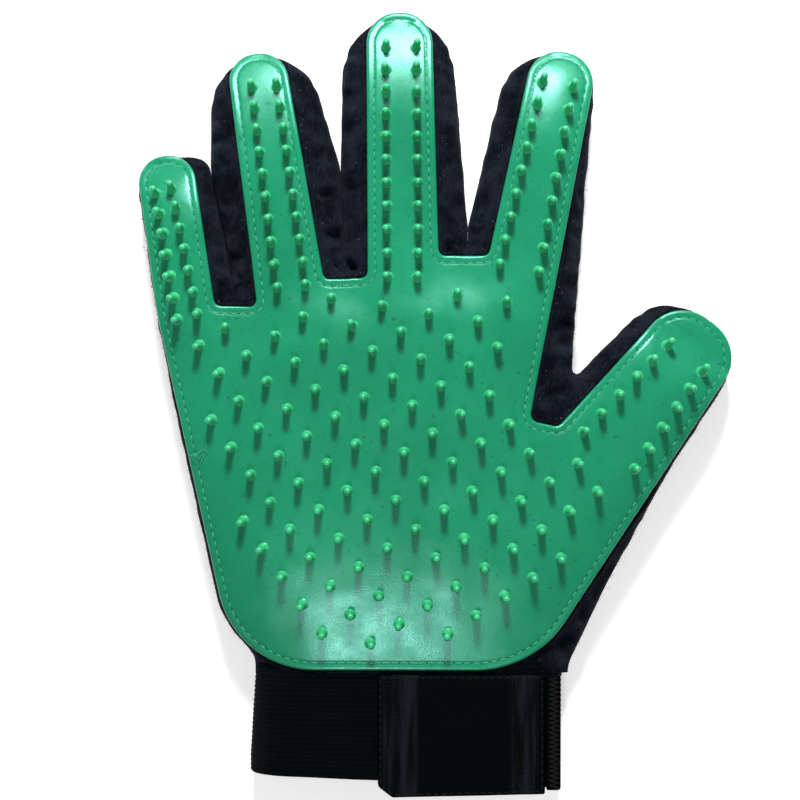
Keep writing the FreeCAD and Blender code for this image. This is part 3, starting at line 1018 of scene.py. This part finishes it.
def build_fuzz():
    """Nap standing along the outer seam and beside the rubber, and specks of lint caught in it."""
    points = []
    for i in range(len(fabric_loop)):
        for _ in range(3):
            shift = draw.uniform(-1.0, 0.25)
            scatter = (draw.gauss(0, 0.5), draw.gauss(0, 0.5))
            points.append(fabric_loop[i] + fabric_out[i] * shift + scatter)
    for i in range(len(pad_loop)):
        for _ in range(2):
            points.append(pad_loop[i] + pad_out[i] * draw.uniform(0.2, 1.5))
    points = np.array([p for p in points if p[1] > wrist_y + 2])
    edge, nearest = to_loop(points, fabric_loop)
    base = np.c_[points, surface(points)]
    normals = slopes(points)
    outer = edge < 0.3
    normals[outer] = np.c_[fabric_out[nearest[outer]], np.full(outer.sum(), 0.25)]
    base[outer, 2] = side_level(points[outer]) + np.array([draw.uniform(-4, 3) for _ in range(outer.sum())])
    nap = blades(base, normals, 3, 0.8, 0.1, 0.5)
    put_parts([nap], [np.repeat(owner_of(points), 6)], "nap", ["brushed_knit"])
    specks = []
    for i in range(len(pad_loop)):
        if draw.random() < lint_share:
            specks.append(pad_loop[i] + pad_out[i] * draw.uniform(0.5, 3.2))
    specks = np.array(specks)
    specks = specks[(to_loop(specks, fabric_loop)[0] > 0.8) & (specks[:, 1] > wrist_y + 2)]
    base = np.c_[specks, surface(specks)] + slopes(specks) * 0.75
    flat = np.cross(slopes(specks), [[draw.gauss(0, 1) for _ in range(3)] for _ in specks])
    lint = blades(base, unit(flat), 5, 0.45, 0.14, 0.3)
    put_parts([lint], [np.repeat(owner_of(specks), 6)], "lint", ["lint"])


def build_loose_thread():
    """Frayed end of the stitching at the little finger's side of the palm."""
    start = np.array((-70.6, -13.9))
    strand_count = 5
    local = random.Random(11)
    strands = []
    for _ in range(strand_count):
        path = []
        spot = feet_under([start + (local.uniform(-0.6, 0.6), local.uniform(-2.2, 2.2))], pad_thick)
        here = raised(spot, pad_thick + 0.1)[0]
        step = np.array((local.uniform(-0.9, 0.5), local.uniform(-1, 1), local.uniform(0.3, 0.7)))
        for _ in range(9):
            path.append(here.copy())
            step += (local.uniform(-0.35, 0.35), local.uniform(-0.35, 0.35), -0.13)
            here += step * 0.55
        strands.append(tube(path, 0.1, 5, False, (0.3, 0.2, 1.0)))
    put_whole("loose_thread", joined(*strands), "green_thread", "hand")


# ---------------------------------------------------------------- cuff and closing tab
cuff_left = [(-110.0, -56.6), (-76.0, -54.6)]
cuff_right = [(-118.0, 38.6), (-84.0, 38.8), (-76.0, 41.0)]
cuff_low = [(-56.6, -113.6), (38.6, -117.6)]
cuff_top = -75.2
cuff_wall = 1.5
cuff_crown = 16.1
tape_top = -70.5
tape_low = -83.0
rib_pitch = 1.5
rib_depth = 0.28


def between(knots, place):
    """Straight-line interpolation in a rising list of (place, value) knots."""
    return np.interp(place, *zip(*knots))


def section(y, blend_share, offset, count):
    """Ring of (x, z) round the wrist at a place along the cuff, moved outward by an offset."""
    left = float(between(cuff_left, y))
    right = float(between(cuff_right, y))
    reach = palm_radius * 0.94 * (1 - blend_share) + np.array((13.0, 8.0)) * blend_share
    ring = []
    for upper in (True, False):
        for k in range(count):
            phase = math.pi * k / count
            x = left + (right - left) * (1 - math.cos(phase)) / 2
            if not upper:
                x = left + right - x
            gap = min(x - left, right - x)
            side = 0 if x - left < right - x else 1
            size = reach[side] if upper else min(reach[side], 13.0)
            s = 1 - min(max(gap / size, 0.0), 1.0)
            share = max(1 - s**crown_power, 0.0) ** (1 / crown_power)
            crown = wrist_crown * (1 - blend_share) + cuff_crown * blend_share
            z = side_height + share * ((crown - side_height) if upper else -side_height)
            ring.append((x, z))
    ring = np.array(ring)
    tangent = np.roll(ring, -1, 0) - np.roll(ring, 1, 0)
    return ring + unit(np.c_[-tangent[:, 1], tangent[:, 0]]) * offset


def sleeve(y_top, low_knots, outward, thick, ribs, count=110):
    """Closed tube wall round the wrist; rows from the top down outside, and up again inside."""
    length = y_top - np.mean([y for x, y in low_knots])
    rows = round(length / (rib_pitch / 6)) if ribs else 24
    rings = []
    for inner in (False, True):
        parts = 10 if inner else rows
        for r in range(parts + 1):
            v = r / parts
            v = 1 - v if inner else v
            guess = y_top - v * length
            offset = outward - (thick if inner else 0.0)
            if ribs and not inner:
                offset += rib_depth * abs(math.sin(math.pi * v * length / rib_pitch)) ** 0.7
            edge = min(v, 1 - v) * length
            offset -= 0.25 * thick * (1 - min(edge / 0.8, 1)) * (-1 if inner else 1)
            ring = section(guess, float(smooth(0.0, 0.35, v)), offset, count)
            low = between(low_knots, ring[:, 0])
            y = y_top + v * (low - y_top)
            slack = 0.45 * noise_at(ring[:, 0] / 15, guess / 13, ring[:, 1] / 10)
            rings.append(np.c_[ring[:, 0], y, ring[:, 1] + slack * (ring[:, 1] > side_height)])
    verts = np.concatenate(rings)
    faces = ring_quads(len(rings), len(rings[0]), closed=True)
    verts[:, 2] = np.maximum(verts[:, 2], floor_gap)
    return verts, faces


def rounded_plate(corners, low, high, round_off, spacing, lift=lambda p: np.zeros(len(p))):
    """Plate with a plan outline and rounded upper and lower edges."""
    loop, out = rounded_loop(corners, 0.8)
    insets = [0.0, 0.3 * round_off, round_off]
    drops = [round_off, 0.35 * round_off, 0.0]
    plan, faces, ring_of = area_mesh(loop, out, insets, spacing)
    drop = np.where(ring_of >= 0, np.array(drops)[ring_of], 0.0)
    rise = lift(plan)
    top = np.c_[plan, high - drop + rise]
    bottom = np.c_[plan, low + drop + rise]
    verts, both = joined((top, faces), (bottom, [f[::-1] for f in faces]))
    here = np.arange(len(loop))
    following = np.roll(here, -1)
    walls = np.c_[here, following, following + len(plan), here + len(plan)].tolist()
    return verts, both + walls


def box_corners(low, high, left_radius, right_radius):
    """Corners (x, y, radius) of a box seen from above, clockwise."""
    left = [(low[0], y, left_radius) for y in (low[1], high[1])]
    right = [(high[0], y, right_radius) for y in (high[1], low[1])]
    return left[1:] + right + left[:1]


def node_box(node):
    """Lowest and highest corners of a CAD node in millimetres."""
    return [np.array(corner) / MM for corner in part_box(node)]


tab_corners = [
    (-17.5, -82.3, 1.0), (33.5, -82.3, 0.6), (33.5, -118.7, 0.6), (-13.0, -119.7, 2.0), (-17.5, -116.2, 2.0),
]
tab_low = 18.7
tab_high = 20.1
hook_pitch = 1.3
loop_count = 900
zigzag_steps = 46


def build_cuff():
    wall = sleeve(cuff_top, cuff_low, 0.35, cuff_wall, True)
    put_whole("cuff", wall, "ribbed_elastic", "hand", "cuff_band")
    tape = sleeve(tape_top, [(-60, tape_low), (40, tape_low)], -1.4, 0.7, False)
    put_whole("seam_tape_inside", tape, "seam_tape", "hand", "cuff_seam_tape")


def tab_lift(points):
    """Slight curl of the tab's free end."""
    x, y = points.T
    return 0.5 * smooth(0, 1, (-6.0 - x) / 12) + 0.12 * noise_at(x / 9, y / 9, 2)


def build_tab():
    woven = rounded_plate(tab_corners, tab_low, tab_high, 0.45, 1.6, tab_lift)
    put_whole("hook_tape_tab_woven", woven, "tab_tape", "strap", "hook_tape_tab")
    line = [(-16.6, -83.2), (-16.6, -115.8), (-12.8, -118.8), (32.6, -117.8), (32.6, -83.2)]
    dashes = []
    headings = []
    for a, b in zip(line, line[1:] + line[:1]):
        a, b = np.array(a), np.array(b)
        length = np.linalg.norm(b - a)
        count = max(1, round(length / 2.4))
        for k in range(count):
            dashes.append(a + (b - a) * (k + 0.5) / count)
            headings.append((*((b - a) / length), 0.0))
    dashes = np.array(dashes)
    origins = np.c_[dashes, tab_high + tab_lift(dashes) - 0.02]
    stitches = placed(ellipsoid(1.8, 0.45, 0.35), origins, upright(len(dashes), headings))
    put_whole("tab_edge_stitches", stitches, "black_thread", "strap")


def build_hook_field():
    """Hooks on the tab's underside, on a thin backing."""
    low, high = node_box("hook_patch")
    backing = rounded_plate(box_corners(low, high, 1.0, 1.0), high[2] - 0.35, high[2] + 0.05, 0.12, 2.0)
    path = [(0.22, 0, 0.1)]
    for t in np.linspace(0.2, 1, 5):
        angle = math.pi * (0.15 + 1.25 * t)
        path.append((0.22 * math.cos(angle), 0.0, -0.38 + 0.2 * math.sin(angle)))
    hook, hook_faces = tube(path, 0.07, 4, False, (0, 1.0, 0))
    hook[:, 2] = -np.abs(hook[:, 2])
    columns, rows = (np.arange(low[i] + 1, high[i] - 0.6, hook_pitch) for i in range(2))
    spots = [(x, y, high[2] - 0.3) for x in columns for y in rows]
    hooks = placed((hook, hook_faces), np.array(spots), upright(len(spots)))
    put_whole("hook_field", joined(backing, hooks), "hook_field", "strap", "hook_patch")


def build_loop_pile():
    """Small loops standing at random on a thin backing."""
    low, high = node_box("loop_patch")
    backing = rounded_plate(box_corners(low, high, 1.5, 1.5), low[2] - 0.9, high[2] - 0.2, 0.2, 1.2)
    local = random.Random(21)
    margin = 0.6
    spots = []
    for _ in range(loop_count):
        x = local.uniform(low[0] + margin, high[0] - margin)
        spots.append((x, local.uniform(low[1] + margin, high[1] - margin), high[2] - 0.22))
    turns = [local.uniform(0, 6.3) for _ in spots]
    headings = [(math.cos(turn), math.sin(turn), 0) for turn in turns]
    arc = [(0.35 * math.cos(a), 0.0, 0.3 * math.sin(a)) for a in np.linspace(0, math.pi, 6)]
    loops = placed(tube(arc, 0.05, 3, False, (0, 1.0, 0)), np.array(spots), upright(len(spots), headings))
    put_whole("loop_pile", joined(backing, loops), "loop_pile", "hand", "loop_patch")


def build_anchor():
    """The tab's sewn end, with its zigzag stitching."""
    low, high = node_box("tab_anchor")
    plate = rounded_plate(box_corners(low, high, 0.6, 0.8), low[2] - 1.2, high[2], 0.5, 1.2)
    put_whole("tab_sewn_end", plate, "tab_tape", "hand", "tab_anchor")
    corners = []
    for k in range(zigzag_steps + 1):
        x = low[0] + 0.9 if k % 2 else high[0] - 0.7
        y = low[1] + 0.8 + (high[1] - low[1] - 1.6) * k / zigzag_steps
        corners.append(np.array((x, y, high[2] + 0.12)))
    path = []
    for a, b in zip(corners, corners[1:]):
        for t in np.linspace(0, 1, 5)[:-1]:
            path.append(a + (b - a) * t - (0, 0, 0.14 * abs(2 * t - 1)))
    zigzag = tube(path, 0.27, 6, False, (0, 0, 1.0))
    put_whole("zigzag_thread", zigzag, "black_thread", "hand", "tab_zigzag_stitching")


pin_feet = build_pad()
build_stitches(pin_feet)
build_fabric()
build_seams()
build_fuzz()
build_loose_thread()
build_cuff()
build_tab()
build_hook_field()
build_loop_pile()
build_anchor()


# ---------------------------------------------------------------- floor, lights and camera
def area_light(name, place, aim, size, power, color=(1, 1, 1), diffuse=True, glossy=True):
    data = bpy.data.lights.new(name, "AREA")
    data.shape = "RECTANGLE"
    data.size, data.size_y = size
    data.energy = power
    data.color = color
    lamp = bpy.data.objects.new(name, data)
    lamp.visible_diffuse = diffuse
    lamp.visible_glossy = glossy
    lamp.location = place
    lamp.rotation_mode = "QUATERNION"
    lamp.rotation_quaternion = (Vector(aim) - Vector(place)).to_track_quat("-Z", "Y")
    bpy.context.scene.collection.objects.link(lamp)


def build_studio():
    paint = material(
        "floor_paint", (0.88, 0.88, 0.88), 0.9, Emission_Color=(1, 1, 1), Emission_Strength=0.45
    )[0]
    corners = [(x * floor_reach, y * floor_reach, 0) for x, y in ((-1, -1), (1, -1), (1, 1), (-1, 1))]
    new_object("floor", corners, [(0, 1, 2, 3)], [paint])
    aim = (0.0, 0.0, 0.02)
    area_light("key", (-0.02, 0.72, 0.54), aim, (0.16, 0.16), 11.7, (1.0, 1.0, 0.98), glossy=False)
    area_light("window", (0.05, 0.71, 0.56), aim, (0.36, 0.34), 12.5, (0.97, 1.0, 1.0), diffuse=False)
    area_light("low_fill", (-0.09, -0.52, 1.0), (-0.02, -0.07, 0.02), (0.14, 0.26), 3.0)
    world = bpy.data.worlds.new("studio")
    world.use_nodes = True
    fill(world.node_tree.nodes["Background"], Color=(1, 1, 1), Strength=0.26)
    bpy.context.scene.world = world
    bpy.context.scene.view_settings.view_transform = "Standard"


def build_camera():
    data = bpy.data.cameras.new("camera")
    data.lens = data.sensor_width * camera_distance / frame_width
    camera = bpy.data.objects.new("camera", data)
    camera.location = (*(camera_centre * MM), (camera_distance + pad_level) * MM)
    bpy.context.scene.collection.objects.link(camera)
    bpy.context.scene.camera = camera


build_studio()
build_camera()
